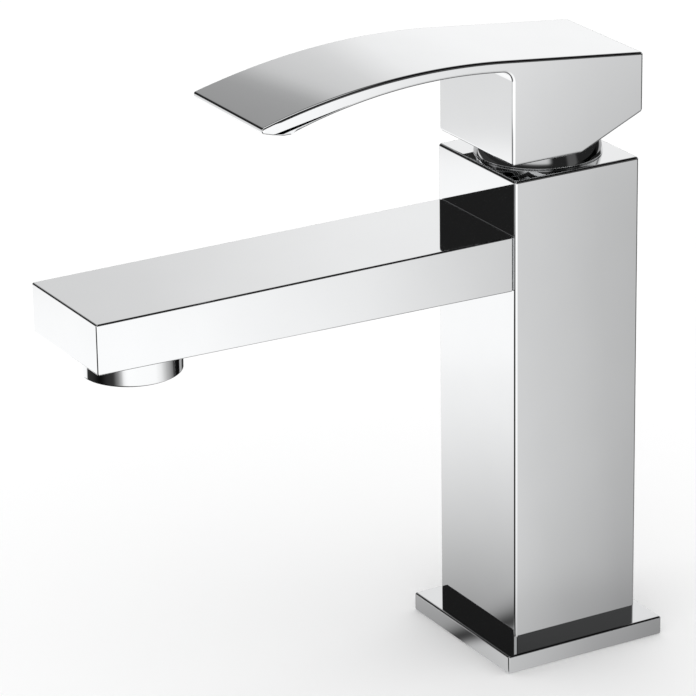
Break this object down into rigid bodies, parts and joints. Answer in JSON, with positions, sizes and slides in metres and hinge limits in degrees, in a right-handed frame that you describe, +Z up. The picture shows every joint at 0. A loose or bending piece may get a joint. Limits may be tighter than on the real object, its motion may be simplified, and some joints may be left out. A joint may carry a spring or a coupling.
{
  "type": "basin mixer faucet",
  "caption": "Square single-lever basin mixer: upright square column, long flat spout with a round outlet, and an arched flat lever that lifts and swivels.",
  "frame": {"origin": "on the deck, at the middle of the column's foot", "axes": "+Z up the column, -Y along the spout and the lever, +X towards the cold side"},
  "size_m": [0.0512, 0.1714, 0.1777],
  "materials": {
    "chrome": "mirror-polished chrome plate on brass",
    "brass": "machined",
    "copper": "drawn tube",
    "steel": "bright",
    "rubber": "moulded black",
    "ceramic": "lapped white alumina",
    "white_plastic": "moulded",
    "grey_plastic": "moulded",
    "index_plastic": "glossy, half red and half blue",
    "limit_plastic": "moulded"
  },
  "bodies": {
    "fixed_body": {"base_plate": "chrome", "base_gasket": "rubber", "base_foot": "brass", "column_body": "chrome", "hot_riser": "copper", "cold_riser": "copper", "spout_body": "chrome", "spout_tube": "copper", "outlet_boss": "chrome", "aerator_housing": "chrome", "aerator_screen": "steel", "aerator_insert": "white_plastic", "aerator_washer": "rubber", "cartridge_base": "grey_plastic", "hot_port_seal": "rubber", "cold_port_seal": "rubber", "outlet_port_seal": "rubber", "disc_gasket": "rubber", "fixed_disc": "ceramic", "cartridge_housing": "grey_plastic", "hot_limit_ring": "limit_plastic", "retaining_nut": "brass", "dome_clip_ring": "white_plastic", "dome_cover": "chrome"},
    "swivel_group": {"turn_sleeve": "white_plastic", "pivot_pin": "steel"},
    "disc_group": {"disc_carrier": "white_plastic", "moving_disc": "ceramic"},
    "lever_group": {"stem": "brass", "handle": "chrome", "grub_screw": "steel", "index_plug": "index_plastic"}
  },
  "joints": [
    {"name": "temperature_swivel", "type": "hinge", "parent": "fixed_body", "child": "swivel_group", "pos_m": [0, 0, 0.14], "axis": [0, 0, 1], "range_deg": [-45, 45]},
    {"name": "lever_lift", "type": "hinge", "parent": "swivel_group", "child": "lever_group", "pos_m": [0, 0, 0.14], "axis": [-1, 0, 0], "range_deg": [0, 25]},
    {"name": "disc_slide", "type": "slide", "parent": "swivel_group", "child": "disc_group", "axis": [0, 1, 0], "range_m": [-0.0029, 0]}
  ],
  "couplings": [
    {"joint": "disc_slide", "follows": "lever_lift", "m_per_rad": -0.0065}
  ]
}
